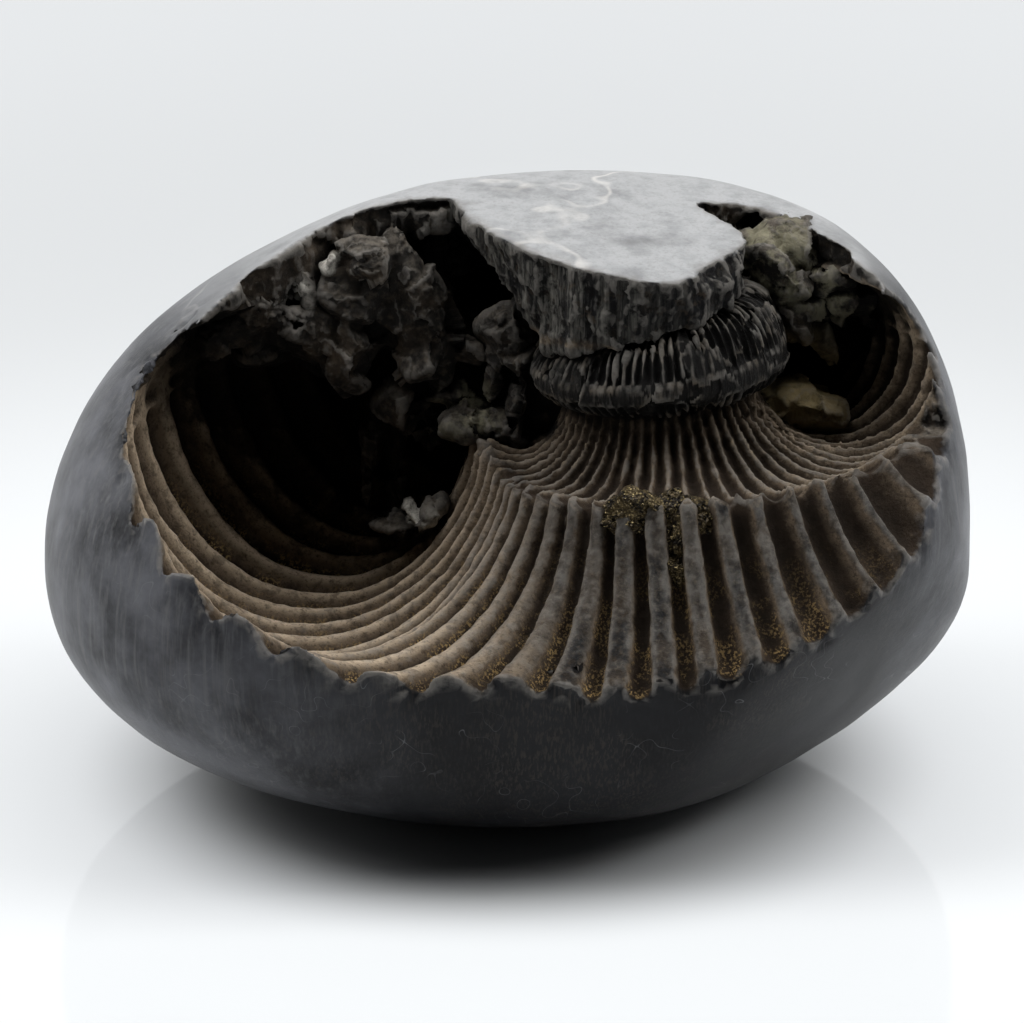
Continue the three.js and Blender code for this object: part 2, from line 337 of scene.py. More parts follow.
def tidy(made):
    """Merges doubles and turns the faces outwards."""
    bm = bmesh.new()
    bm.from_mesh(made.data)
    bmesh.ops.remove_doubles(bm, verts=bm.verts, dist=1e-4)
    bmesh.ops.recalc_face_normals(bm, faces=bm.faces)
    bm.to_mesh(made.data)
    bm.free()
    return made


def loft(name, rings):
    """A closed solid through rings of points."""
    rings = np.asarray(rings, float)
    rows, count = rings.shape[:2]
    faces = [
        (r * count + i, r * count + (i + 1) % count, (r + 1) * count + (i + 1) % count, (r + 1) * count + i)
        for r in range(rows - 1)
        for i in range(count)
    ]
    first, last = rows * count, rows * count + 1
    for i in range(count):
        j = (i + 1) % count
        faces += [(first, j, i), (last, (rows - 1) * count + i, (rows - 1) * count + j)]
    points = [*rings.reshape(-1, 3), rings[0].mean(0), rings[-1].mean(0)]
    return tidy(mesh_object(name, points, faces))


def sphere_points(subdivisions):
    """Unit directions and triangles of an icosphere."""
    bm = bmesh.new()
    bmesh.ops.create_icosphere(bm, subdivisions=subdivisions, radius=1)
    points = np.array([v.co[:] for v in bm.verts])
    faces = [tuple(v.index for v in f.verts) for f in bm.faces]
    bm.free()
    return points / np.linalg.norm(points, axis=1, keepdims=True), faces


def baked(made):
    """The object with its modifiers turned into its mesh."""
    graph = bpy.context.evaluated_depsgraph_get()
    mesh = bpy.data.meshes.new_from_object(made.evaluated_get(graph), depsgraph=graph)
    made.modifiers.clear()
    old = made.data
    made.data = mesh
    bpy.data.meshes.remove(old)
    return made


def joined(name, objects):
    """One object of several, with overlaps kept."""
    bm = bmesh.new()
    for each in objects:
        bm.from_mesh(each.data)
    mesh = bpy.data.meshes.new(name)
    bm.to_mesh(mesh)
    bm.free()
    for each in objects:
        drop(each)
    return linked(name, mesh)


def drop(made):
    """Takes an object and its mesh away."""
    mesh = made.data
    bpy.data.objects.remove(made)
    if not mesh.users:
        bpy.data.meshes.remove(mesh)


def carve(body, tool, operation="DIFFERENCE"):
    """Cuts a tool out of a body, or keeps what they share."""
    cut = body.modifiers.new("carve", "BOOLEAN")
    cut.object = tool
    cut.operation = operation
    cut.solver = "MANIFOLD"
    baked(body)
    return body


def ragged(x, y, z, seed, scale, depth):
    """Smooth noise at a place, in millimetres."""
    roughening, gap, octaves = 0.8, 2.0, 3
    at = Vector((x, y, z)) * scale + Vector((seed, 0, 0))
    return noise.fractal(at, roughening, gap, octaves) * depth


# The pebble


def pebble_points(directions):
    """The pebble's surface points in these directions from its middle."""
    size = settings().pebble
    half_width, rise, lean = size.half_width / MM, size.rise / MM, size.lean / MM
    depth = np.where(directions[:, 1] > 0, size.back_depth, size.front_depth) / MM
    height = np.where(directions[:, 2] > 0, size.rise, size.fall) / MM
    length = (np.abs(directions) ** PEBBLE_SQUARENESS).sum(1) ** (-1 / PEBBLE_SQUARENESS)
    p = directions * length[:, None] * np.stack([np.full(len(depth), half_width), depth, height], 1)
    p[:, 0] += lean * (np.maximum(p[:, 2], 0) / rise) ** 2
    for normal, distance, softness in GROUND_FACES:
        n = np.array(normal) / np.linalg.norm(normal)
        past = np.maximum(p @ n - (distance - softness), 0)
        p += n * (softness * (1 - np.exp(-past / softness)) - past)[:, None]
    p[:, 2] = np.maximum(p[:, 2] + size.waist / MM, 0)
    return p


def pebble(name):
    """The whole pebble as a closed mesh."""
    directions, faces = sphere_points(7)
    return mesh_object(name, pebble_points(directions), faces)


# Geometry Nodes trees


MATH, VECTOR, MIX = "ShaderNodeMath", "ShaderNodeVectorMath", "ShaderNodeMix"
NOISE, STORE = "ShaderNodeTexNoise", "GeometryNodeStoreNamedAttribute"
RANGE = "ShaderNodeMapRange"  # its sockets: the value, its least and most, and what they turn into


def add_node(tree, kind, links=(), operation=None, **choices):
    """Adds a node with its settings.

    The links give a value, a socket or another node for each named socket, or for the first ones in order.
    """
    node = tree.nodes.new(kind)
    if operation:
        node.operation = operation
    for name, value in choices.items():
        setattr(node, name, value)
    for socket, source in links.items() if isinstance(links, dict) else enumerate(links):
        if isinstance(source, bpy.types.Node):
            source = source.outputs[0]
        if isinstance(source, bpy.types.NodeSocket):
            tree.links.new(source, node.inputs[socket])
        else:
            node.inputs[socket].default_value = source
    return node


def new_tree(name, inputs):
    """A geometry tree with a geometry socket each way and these named inputs."""
    tree = bpy.data.node_groups.new(name, "GeometryNodeTree")
    tree.interface.new_socket("Geometry", in_out="OUTPUT", socket_type="NodeSocketGeometry")
    tree.interface.new_socket("Geometry", in_out="INPUT", socket_type="NodeSocketGeometry")
    for label, kind in inputs:
        tree.interface.new_socket(label, in_out="INPUT", socket_type=f"NodeSocket{kind}")
    return tree


def grow(made, tree, values):
    """Puts the tree on an object, sets its inputs by their identifiers, and bakes it."""
    modifier = made.modifiers.new(tree.name, "NODES")
    modifier.node_group = tree
    for item in tree.interface.items_tree:
        if item.in_out == "INPUT" and item.name in values:
            modifier[item.identifier] = values[item.name]
    return baked(made)


def table_curve(tree, share, rows, column, low, high):
    """A value that follows a table of bearings, as a curve over the share of the turn."""
    start, end = rows[0][0], rows[-1][0]
    curve = add_node(tree, "ShaderNodeFloatCurve", {"Value": share})
    points = curve.mapping.curves[0].points
    while len(points) < len(rows):
        points.new(0.5, 0.5)
    for point, row in zip(points, rows):
        point.location = ((row[0] - start) / (end - start), (row[column] - low) / (high - low))
        point.handle_type = "AUTO_CLAMPED"
    curve.mapping.update()
    return add_node(tree, MATH, (curve, high - low, low), "MULTIPLY_ADD")


def end_tree(tree, geometry, material=None):
    """Ends a tree in real, painted geometry."""
    real = add_node(tree, "GeometryNodeRealizeInstances", {"Geometry": geometry})
    painted = add_node(tree, "GeometryNodeSetMaterial", {"Geometry": real})
    if material is not None:
        tree.links.new(material, painted.inputs["Material"])
    add_node(tree, "NodeGroupOutput", (painted,))
    return tree


def rib_profile(tree, apart, half_width, cusped, fluted):
    """How deep a groove is at a share of a step from its middle: flat-floored, a cusp, or a round flute."""
    add = partial(add_node, tree)
    inner_edge = add(MATH, (half_width, 0.5), "MULTIPLY")
    flat = add(RANGE, (apart, half_width, inner_edge), interpolation_type="SMOOTHSTEP")
    to_edge = add(MATH, (apart, -2.0, 1.0), "MULTIPLY_ADD")
    cusp = add(MATH, (to_edge, 1.8), "POWER")
    across = add(MATH, (apart, half_width), "DIVIDE", use_clamp=True)
    squared = add(MATH, (across, across), "MULTIPLY")
    flute = add(MATH, (1.0, squared), "SUBTRACT")
    first = add(MIX, {0: cusped, 2: flat, 3: cusp})
    return add(MIX, {0: fluted, 2: first, 3: flute})


def whorl_tree(name, stations, ribs):
    """A ribbed tube that winds round the shell's axis through its stations."""
    inputs = [
        ("Rings", "Int"), ("Sides", "Int"), ("Ribs", "Float"), ("Depth", "Float"), ("Fade From", "Float"),
        ("Keel", "Float"), ("Wander", "Float"), ("Worn", "Float"), ("Material", "Material"),
    ]
    tree = new_tree(name, inputs)
    add = partial(add_node, tree)
    given = add("NodeGroupInput").outputs
    start, end = stations[0][0], stations[-1][0]

    grid = add("GeometryNodeMeshGrid", {"Vertices X": given["Rings"], "Vertices Y": given["Sides"]})
    place = add("ShaderNodeSeparateXYZ", (add("GeometryNodeInputPosition"),))
    along = add(MATH, (place.outputs[0], 0.5), "ADD")
    around = add(MATH, (place.outputs[1], 0.5), "ADD")
    bearing = add(MATH, (along, end - start, start), "MULTIPLY_ADD")
    angle = add(MATH, (around, 2 * pi), "MULTIPLY")
    sine = add(MATH, (angle,), "SINE")
    cosine = add(MATH, (angle,), "COSINE")
    centre, half_width, drop, rise = (table_curve(tree, along, stations, k, 0, REACH) for k in (1, 2, 3, 4))
    counted = table_curve(tree, along, ribs, 1, -MOST_RIBS, MOST_RIBS)
    groove_half, cusped, fluted = (table_curve(tree, along, ribs, k, 0, 1) for k in (2, 3, 4))
    depth, lag = (table_curve(tree, along, ribs, k, -4, 4) for k in (5, 6))

    # Where each point lies between ribs, with a sweep towards the outer edge and some wander
    inner = add(MATH, (cosine, 0.5, 0.5), "MULTIPLY_ADD")
    beside = add(MATH, (cosine, 9.0), "MULTIPLY")
    above = add(MATH, (sine, 9.0), "MULTIPLY")
    wander_at = add("ShaderNodeCombineXYZ", (bearing, beside, above))
    wander = add(NOISE, {"Vector": wander_at, "Scale": 0.12, "Detail": 2.0})
    turns = add(MATH, (counted, given["Ribs"]), "MULTIPLY")
    swept = add(MATH, (inner, lag, turns), "MULTIPLY_ADD")
    moved = add(MATH, (wander, given["Wander"], swept), "MULTIPLY_ADD")
    half_on = add(MATH, (moved, 0.5), "ADD")
    share = add(MATH, (half_on,), "FRACT")
    centred = add(MATH, (share, 0.5), "SUBTRACT")
    apart = add(MATH, (centred,), "ABSOLUTE")
    stand = rib_profile(tree, apart, groove_half, cusped, fluted)

    # The ribs fade on the upper side, along the keel and in worn patches
    fade_to = add(MATH, (given["Fade From"], 0.4), "ADD")
    fade = add(RANGE, (sine, given["Fade From"], fade_to), interpolation_type="SMOOTHSTEP")
    from_keel = add(MATH, (angle, pi), "SUBTRACT")
    keel_gap = add(MATH, (from_keel,), "ABSOLUTE")
    keel_edge = add(MATH, (given["Keel"], 0.6), "MULTIPLY")
    off_keel = add(RANGE, (keel_gap, keel_edge, given["Keel"]), interpolation_type="SMOOTHSTEP")
    patch = add(NOISE, {"Vector": wander_at, "Scale": 0.07, "Detail": 3.0})
    worn = add(RANGE, (patch, 0.52, 0.62))
    worn_away = add(MATH, (worn, given["Worn"]), "MULTIPLY")
    kept = add(MATH, (1.0, worn_away), "SUBTRACT")
    groove = stand
    for share_left in (fade, off_keel, kept):
        groove = add(MATH, (groove, share_left), "MULTIPLY")
    deep = add(MATH, (groove, depth), "MULTIPLY")
    swell = add(MATH, (deep, given["Depth"]), "MULTIPLY")

    # Both ends draw in to a point
    from_end = add(MATH, (1.0, along), "SUBTRACT")
    nearer_end = add(MATH, (along, from_end), "MINIMUM")
    pinch = add(RANGE, (nearer_end, 0.0, 0.03), interpolation_type="SMOOTHERSTEP")
    wide = add(MATH, (half_width, swell), "ADD")
    wide_here = add(MATH, (wide, pinch), "MULTIPLY")
    inward = add(MATH, (wide_here, cosine), "MULTIPLY")
    radius = add(MATH, (centre, inward), "SUBTRACT")
    lower = add(MATH, (sine, 0.0), "GREATER_THAN")
    reach = add(MIX, {0: lower, 2: rise, 3: drop})
    tall = add(MATH, (reach, swell), "ADD")
    tall_here = add(MATH, (tall, pinch), "MULTIPLY")
    raised = add(MATH, (tall_here, sine), "MULTIPLY")
    height = add(MATH, (raised, -1.0), "MULTIPLY")

    turn = add(MATH, (bearing,), "RADIANS")
    turn_cosine = add(MATH, (turn,), "COSINE")
    turn_sine = add(MATH, (turn,), "SINE")
    x = add(MATH, (radius, turn_cosine), "MULTIPLY")
    y = add(MATH, (radius, turn_sine), "MULTIPLY")
    point = add("ShaderNodeCombineXYZ", (x, y, height))

    marked = add(STORE, {"Geometry": grid, "Name": "groove", "Value": groove})
    shaped = add("GeometryNodeSetPosition", {"Geometry": marked, "Position": point})
    welded = add("GeometryNodeMergeByDistance", {"Geometry": shaped, "Distance": 1e-4})
    seat = {"Geometry": welded, "Translation": AXIS, "Rotation": (0, -TIP, 0)}
    placed = add("GeometryNodeTransform", seat)
    return end_tree(tree, placed, given["Material"])


def whorl(name, table, ribs, grid, closeness, depth, fade=-0.3, keel=0.01, wander=0.25, worn=0.0):
    """A ribbed whorl as a closed plain mesh."""
    values = {
        "Rings": grid[0], "Sides": grid[1], "Ribs": closeness, "Depth": depth,
        "Fade From": fade, "Keel": keel, "Wander": wander, "Worn": worn,
    }
    tree = whorl_tree(name + "_tree", table, ribs)
    return tidy(grow(mesh_object(name, [], []), tree, values))


def outer_cast():
    """What the shell's outer whorl filled."""
    size = settings().mould
    return whorl("outer_cast", OUTER_STATIONS, OUTER_RIBS, (600, 121), size.outer_ribs, size.outer_depth)


def inner_cast():
    """What the shell's inner whorl filled."""
    size = settings().mould
    return whorl("inner_cast", INNER_STATIONS, INNER_RIBS, (800, 73), size.inner_ribs, size.inner_depth)


def marks_tree():
    """Marks each point with the surface that it lies on, by its distance from the shapes that made it."""
    sources = (("Pebble", "skin"), ("Outer Cast", "outer"), ("Inner Cast", "inner"), ("Plug", "plug"))
    tree = new_tree("surface_marks", [(label, "Object") for label, mark in sources])
    add = partial(add_node, tree)
    given = add("NodeGroupInput").outputs
    gaps, shapes, marks = {}, {}, {}
    for label, mark in sources:
        shapes[mark] = add("GeometryNodeObjectInfo", {"Object": given[label]}).outputs["Geometry"]
        gaps[mark] = add("GeometryNodeProximity", (shapes[mark],)).outputs["Distance"]
        marks[mark] = add(RANGE, (gaps[mark], 0.5, 0.15), interpolation_type="SMOOTHSTEP")
    grooves = []
    for mark in ("outer", "inner"):
        own = add("GeometryNodeInputNamedAttribute", {"Name": "groove"})
        there = add("GeometryNodeSampleNearestSurface", {"Mesh": shapes[mark], "Value": own})
        grooves.append(add(MATH, (there, marks[mark]), "MULTIPLY"))
    marks["groove"] = add(MATH, (grooves[0], grooves[1]), "MAXIMUM")
    # The rim: close to the skin and to the outer mould at once
    near = [
        add(RANGE, (gaps[mark], 2.4, 0.2))
        for mark in ("skin", "outer")
    ]
    marks["rim"] = add(MATH, (near[0], near[1]), "MULTIPLY")
    # The mould broke away along its roof
    place = add("GeometryNodeInputPosition")
    uneven = add(NOISE, {"Vector": place, "Scale": 0.12, "Detail": 2.0})
    level = add("ShaderNodeSeparateXYZ", (place,)).outputs[2]
    roof_line = add(MATH, (uneven, 14.0, level), "MULTIPLY_ADD")
    whole = add(RANGE, (roof_line, 59.0, 55.0))
    marks["outer"] = add(MATH, (marks["outer"], whole), "MULTIPLY")
    marked = given["Geometry"]
    for name, value in marks.items():
        marked = add(STORE, {"Geometry": marked, "Name": name, "Value": value})
    return end_tree(tree, marked)


def weather_tree():
    """Moves the surface along its normals: rough where it broke, pitted in the mould, calm on the skin."""
    inputs = [("Roughness", "Float"), ("Chips", "Float"), ("Seed", "Float")]
    tree = new_tree("weathering", inputs)
    add = partial(add_node, tree)
    given = add("NodeGroupInput").outputs
    marks = {
        name: add("GeometryNodeInputNamedAttribute", {"Name": name})
        for name in ("skin", "outer", "inner", "plug", "rim")
    }
    place = add("GeometryNodeInputPosition")
    tall = add(VECTOR, (place, (1.0, 1.0, 0.13)), "MULTIPLY")
    mould = add(MATH, (marks["outer"], marks["inner"]), "MAXIMUM")
    off_skin = add(MATH, (1.0, marks["skin"]), "SUBTRACT")
    plug = add(MATH, (marks["plug"], off_skin), "MULTIPLY")
    known = mould
    for mark in ("skin", "plug"):
        known = add(MATH, (known, marks[mark]), "MAXIMUM")
    broken = add(MATH, (1.0, known), "SUBTRACT")
    broken = add(MATH, (broken, 2.0), "POWER")
    # Where the noise is read, its scale per millimetre, its detail, what it works on, its share of the depth
    layers = [
        (place, 0.2, 5.0, broken, 1.1),
        (place, 0.9, 3.0, broken, 0.35),
        (tall, 0.36, 5.0, plug, 2.6),
        (place, 0.45, 4.0, plug, 0.9),
        (place, 0.5, 4.0, mould, 0.42),
        (place, 0.14, 2.0, mould, 0.5),
        (place, 0.045, 2.0, marks["skin"], 0.8),
    ]
    total = add(MATH, (0.0, 0.0), "ADD")
    for at, scale, detail, where, share in layers:
        field = add(
            NOISE, {"Vector": at, "W": given["Seed"], "Scale": scale, "Detail": detail, "Roughness": 0.6},
            noise_dimensions="4D",
        )
        centred = add(MATH, (field, 0.5), "SUBTRACT")
        here = add(MATH, (centred, where), "MULTIPLY")
        deep = add(MATH, (here, given["Roughness"]), "MULTIPLY")
        total = add(MATH, (deep, share, total), "MULTIPLY_ADD")
    # Broken faces fall into facets: each cell of the rock is flat, with a tilt of its own
    warp = add(NOISE, {"Vector": place, "Scale": 0.4, "Detail": 3.0})
    warped = add(VECTOR, (warp.outputs["Color"], (1.6, 1.6, 1.6), place), "MULTIPLY_ADD")
    for scale, where, share in ((0.15, broken, 0.5), (0.45, broken, 0.32), (0.26, plug, 0.22)):
        cell = add("ShaderNodeTexVoronoi", {"Vector": warped, "Scale": scale, "Randomness": 1.0})
        tilt = add(VECTOR, (cell.outputs["Color"], (0.5, 0.5, 0.5)), "SUBTRACT")
        from_middle = add(VECTOR, (warped, cell.outputs["Position"]), "SUBTRACT")
        facet = add(VECTOR, (from_middle, tilt), "DOT_PRODUCT").outputs["Value"]
        here = add(MATH, (facet, where), "MULTIPLY")
        total = add(MATH, (here, share, total), "MULTIPLY_ADD")
    uneven = {"Vector": place, "W": given["Seed"], "Scale": 0.3, "Detail": 2.0}
    field = add(NOISE, uneven, noise_dimensions="4D")
    chip = add(RANGE, (field, 0.5, 0.7))
    chipped = add(MATH, (chip, marks["rim"]), "MULTIPLY")
    cut = add(MATH, (chipped, given["Chips"]), "MULTIPLY")
    total = add(MATH, (total, cut), "SUBTRACT")
    normal = add("GeometryNodeInputNormal")
    push = add(VECTOR, {0: normal, "Scale": total}, "SCALE")
    moved = add("GeometryNodeSetPosition", {"Geometry": given["Geometry"], "Offset": push})
    return end_tree(tree, moved)


def islands_tree():
    """Takes away loose crumbs: every separate piece of the surface with fewer points than the least."""
    tree = new_tree("loose_crumbs", [("Least", "Float")])
    add = partial(add_node, tree)
    given = add("NodeGroupInput").outputs
    island = add("GeometryNodeInputMeshIsland")
    count = add("GeometryNodeAccumulateField", {"Group ID": island}).outputs["Total"]
    small = add(MATH, (count, given["Least"]), "LESS_THAN")
    left = add("GeometryNodeDeleteGeometry", {"Geometry": given["Geometry"], "Selection": small})
    return end_tree(tree, left)


SKY_RAYS = 28
GOLDEN_ANGLE = 2.39996  # turns each ray from the one before it, which spreads them evenly
RAY_START = (0.25, 0.25, 0.25)  # how far off the surface a ray starts, as a share of the normal
RAY_LENGTH = 200.0


def survey_tree(names):
    """Takes a dense surface's marks over to its thinned copy, and finds how much sky each point sees."""
    inputs = [("Dense", "Object"), ("Others", "Object"), ("Others Scale", "Float")]
    tree = new_tree("surface_survey", inputs)
    add = partial(add_node, tree)
    given = add("NodeGroupInput").outputs
    dense = add("GeometryNodeObjectInfo", {"Object": given["Dense"]}).outputs["Geometry"]
    others = add("GeometryNodeObjectInfo", {"Object": given["Others"]}).outputs["Geometry"]
    scale = add("ShaderNodeCombineXYZ", {k: given["Others Scale"] for k in range(3)})
    sized = add("GeometryNodeTransform", {"Geometry": others, "Scale": scale})
    whole = add("GeometryNodeJoinGeometry", (given["Geometry"],))
    tree.links.new(sized.outputs[0], whole.inputs[0])
    normal, place = add("GeometryNodeInputNormal"), add("GeometryNodeInputPosition")
    start = add(VECTOR, (normal, RAY_START, place), "MULTIPLY_ADD")
    seen = add(MATH, (1.0, 0.0), "ADD")
    for i in range(SKY_RAYS):
        tilt, turn = (i + 0.5) / SKY_RAYS, i * GOLDEN_ANGLE
        ray = (tilt**0.5 * cos(turn), tilt**0.5 * sin(turn), (1 - tilt) ** 0.5)
        hit = add("GeometryNodeRaycast", {
            "Target Geometry": whole, "Source Position": start, "Ray Direction": ray,
            "Ray Length": RAY_LENGTH,
        })
        seen = add(MATH, (hit, -1 / SKY_RAYS, seen), "MULTIPLY_ADD")
    surveyed = add(STORE, {"Geometry": given["Geometry"], "Name": "sky", "Value": seen})
    for name in names:
        own = add("GeometryNodeInputNamedAttribute", {"Name": name})
        there = add("GeometryNodeSampleNearestSurface", {"Mesh": dense, "Value": own})
        surveyed = add(STORE, {"Geometry": surveyed, "Name": name, "Value": there})
    return end_tree(tree, surveyed)


# The parts that are carved and joined


def mouth():
    """The space of the mouth: a ragged upright outline over a bowl turned round the shell's axis."""
    seed = settings().weather.seed
    corners = [Vector(c) for c in MOUTH_OUTLINE]
    outline = []
    for a, b in zip(corners, corners[1:] + corners[:1]):
        count = max(1, round((b - a).length / 0.8)) if max(abs(a.y), abs(b.y)) < 60 else 1
        for i in range(count):
            p = a.lerp(b, i / count)
            side = Vector((b.y - a.y, a.x - b.x)).normalized()
            p += side * ragged(p.x, p.y, 0, seed, 0.45, 1.3)
            outline.append(p)
    rings = [[(p.x, p.y, z) for p in outline] for z in (30, 90)]
    count = len(outline)
    faces = [(i, (i + 1) % count, count + (i + 1) % count, count + i) for i in range(count)]
    faces += [tuple(reversed(range(count))), tuple(range(count, 2 * count))]
    prism = tidy(mesh_object("mouth", [p for ring in rings for p in ring], faces))

    steps = 96
    turns = [2 * pi * k / steps for k in range(steps)]
    turned = [
        [SHELL_FRAME @ Vector((r * cos(turn), r * sin(turn), h)) for turn in turns]
        for r, h in MOUTH_FLOOR
    ]
    points = [p for ring in turned for p in ring]
    faces = [
        (i * steps + k, i * steps + (k + 1) % steps, (i + 1) * steps + (k + 1) % steps, (i + 1) * steps + k)
        for i in range(len(MOUTH_FLOOR) - 1)
        for k in range(steps)
    ]
    bowl = tidy(mesh_object("bowl", points, faces))
    carve(prism, bowl, "INTERSECT")
    drop(bowl)
    return prism


def plug_rings():
    """Rings of the plug, from its sloping foot up its hollowed sides to above the pebble's top."""
    count = 96
    turns = 2 * pi * np.arange(count) / count
    known = 2 * pi * np.arange(len(PLUG_TOP_RADII) + 1) / len(PLUG_TOP_RADII)
    edge = np.interp(turns, known, [*PLUG_TOP_RADII, PLUG_TOP_RADII[0]])
    edge = (np.roll(edge, 1) + edge * 2 + np.roll(edge, -1)) / 4
    unit = np.stack([np.cos(turns), np.sin(turns)], 1)
    top = np.array(PLUG_MIDDLE) + edge[:, None] * unit
    foot_edge = np.interp(turns, known, [*PLUG_FOOT_RADII, PLUG_FOOT_RADII[0]])
    foot = np.array(PLUG_FOOT[:2]) + foot_edge[:, None] * unit
    foot_level = PLUG_FOOT[2] + PLUG_FOOT_SLOPE * foot_edge * unit[:, 0]
    rings = []
    for t in np.linspace(0, 1, 13):
        flat = foot + (top - foot) * t**1.25
        level = foot_level + (PLUG_TOP_LEVEL - foot_level) * t
        rings.append(np.column_stack([flat, level]))
    rings.append(np.column_stack([top, np.full(count, PLUG_TOP)]))
    return rings


def plug():
    """The plug over the core, with its front right corner broken off."""
    made = loft("plug", plug_rings())
    (at, normal) = PLUG_CHIP
    bm = bmesh.new()
    bmesh.ops.create_cube(bm, size=30, matrix=Matrix.Translation((0, 0, 15)))
    turn = Vector((0, 0, 1)).rotation_difference(Vector(normal))
    bm.transform(Matrix.Translation(at) @ turn.to_matrix().to_4x4())
    mesh = bpy.data.meshes.new("chip")
    bm.to_mesh(mesh)
    bm.free()
    chip = linked("chip", mesh)
    carve(made, chip)
    drop(chip)
    return made


def chunk(name, at, half, turn, seed, cuts=14, sphere=sphere_points(4)):
    """One angular lump of broken rock: a ball cut by random planes."""
    directions, faces = sphere
    rng = np.random.default_rng(seed)
    p = directions.copy()
    for _ in range(cuts):
        n = rng.normal(size=3)
        n /= np.linalg.norm(n)
        past = np.maximum(p @ n - rng.uniform(0.5, 0.86), 0)
        p -= n * past[:, None]
    p = p * 1.3 * np.array(half)
    c, s = cos(radians(turn)), sin(radians(turn))
    turned = np.stack([p[:, 0] * c + p[:, 2] * s, p[:, 1], p[:, 2] * c - p[:, 0] * s], 1)
    return mesh_object(name, turned + np.array(at), faces)


def store_mark(mesh, name, values):
    """Stores a value at each point under this name."""
    mark = mesh.attributes.get(name) or mesh.attributes.new(name, "FLOAT", "POINT")
    mark.data.foreach_set("value", np.asarray(values, np.float32))


NEAR_STEPS, WIDE_STEPS = 4, 30  # rounds of smoothing that stand for the near and the wider neighbourhood


def relief_marks(mesh):
    """Stores how far each point stands proud of its near and of its wider neighbourhood, in millimetres."""
    count = len(mesh.vertices)
    points = np.empty(count * 3)
    normals = np.empty(count * 3)
    edges = np.empty(len(mesh.edges) * 2, int)
    mesh.vertices.foreach_get("co", points)
    mesh.vertices.foreach_get("normal", normals)
    mesh.edges.foreach_get("vertices", edges)
    points, normals, edges = points.reshape(-1, 3), normals.reshape(-1, 3), edges.reshape(-1, 2)
    ends = np.concatenate([edges[:, 0], edges[:, 1]])
    others = np.concatenate([edges[:, 1], edges[:, 0]])
    valence = np.bincount(ends, minlength=count).clip(1)
    smooth = points.copy()
    for step in range(1, WIDE_STEPS + 1):
        summed = np.stack([np.bincount(ends, smooth[others, k], count) for k in range(3)], 1)
        smooth = summed / valence[:, None]
        if step == NEAR_STEPS:
            store_mark(mesh, "proud", ((points - smooth) * normals).sum(1))
    store_mark(mesh, "relief", ((points - smooth) * normals).sum(1))


LEAST_ISLAND = 900.0  # points of the smallest loose piece that isn't a crumb
MOST_TRIANGLES = 194000
ROCK_TRIANGLES = 150000
ROCK_GRAIN, CRUST_GRAIN = 0.25, 0.2


def fused(name, shapes, grain, settling=2):
    """Melts overlapping solids into one closed surface."""
    whole = joined(name, shapes)
    remesh = whole.modifiers.new("fuse", "REMESH")
    remesh.mode = "VOXEL"
    remesh.voxel_size = grain
    settle = whole.modifiers.new("settle", "SMOOTH")
    settle.iterations = settling
    baked(whole)
    return grow(whole, islands_tree(), {"Least": LEAST_ISLAND})


def surveyed(dense, triangles, others=None, others_scale=1.0):
    """A thinned copy of a dense surface that keeps its marks; the dense one goes."""
    names = [a.name for a in dense.data.attributes if a.data_type == "FLOAT" and a.domain == "POINT"]
    made = twin(dense)
    thin = made.modifiers.new("thin", "DECIMATE")
    faces = sum(len(f.vertices) - 2 for f in dense.data.polygons)
    thin.ratio = min(1, triangles / faces)
    baked(made)
    given = {"Dense": dense, "Others Scale": others_scale}
    if others:
        given["Others"] = others
    grow(made, survey_tree(names), given)
    drop(dense)
    return made


def finish_piece(made, name, material, nodes):
    """Turns a piece to metres, gives it its material and hangs it in the frame."""
    made.name = made.data.name = name
    for vertex in made.data.vertices:
        vertex.co.z = max(vertex.co.z, 0.0)
    made.data.transform(Matrix.Scale(MM, 4))
    made.data.materials.clear()
    made.data.materials.append(material)
    made.data.shade_smooth()
    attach(made, "root")
    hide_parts(*nodes)
    return made


# Materials


def new_material(name):
    """An empty node material and its tree."""
    material = bpy.data.materials.new(name)
    material.use_nodes = True
    material.node_tree.nodes.clear()
    return material, material.node_tree


def layered(tree, base, layers):
    """Lays each colour over those below it, as far as its share says."""
    for share, colour in layers:
        if isinstance(colour, str):
            colour = (*linear(colour), 1)
        elif isinstance(colour, (tuple, list)) or hasattr(colour, "hsv"):
            colour = (*colour[:3], 1)
        base = add_node(tree, MIX, {0: share, 6: base, 7: colour}, data_type="RGBA").outputs[2]
    return base


def patches(tree, at, scale, low, high, detail=5.0, roughness=0.62, most=1.0):
    """Soft patches of a noise, from none below its low value to most above its high one."""
    field = add_node(tree, NOISE, {"Vector": at, "Scale": scale, "Detail": detail, "Roughness": roughness})
    return add_node(tree, RANGE, (field, low, high, 0.0, most))


def hairlines(tree, at, scale, width, detail=3.0):
    """Thin wandering lines, where a noise passes its middle value."""
    field = add_node(tree, NOISE, {"Vector": at, "Scale": scale, "Detail": detail})
    off = add_node(tree, MATH, (field, 0.5), "SUBTRACT")
    gap = add_node(tree, MATH, (off,), "ABSOLUTE")
    return add_node(tree, RANGE, (gap, width, width * 0.2))


def every(tree, *shares):
    """Where all of these shares hold: their product."""
    whole = shares[0]
    for share in shares[1:]:
        whole = add_node(tree, MATH, (whole, share), "MULTIPLY")
    return whole


MARKS = (
    "skin", "outer", "inner", "plug", "groove", "proud", "relief", "sky", "crystal", "pale", "tan", "coil",
)


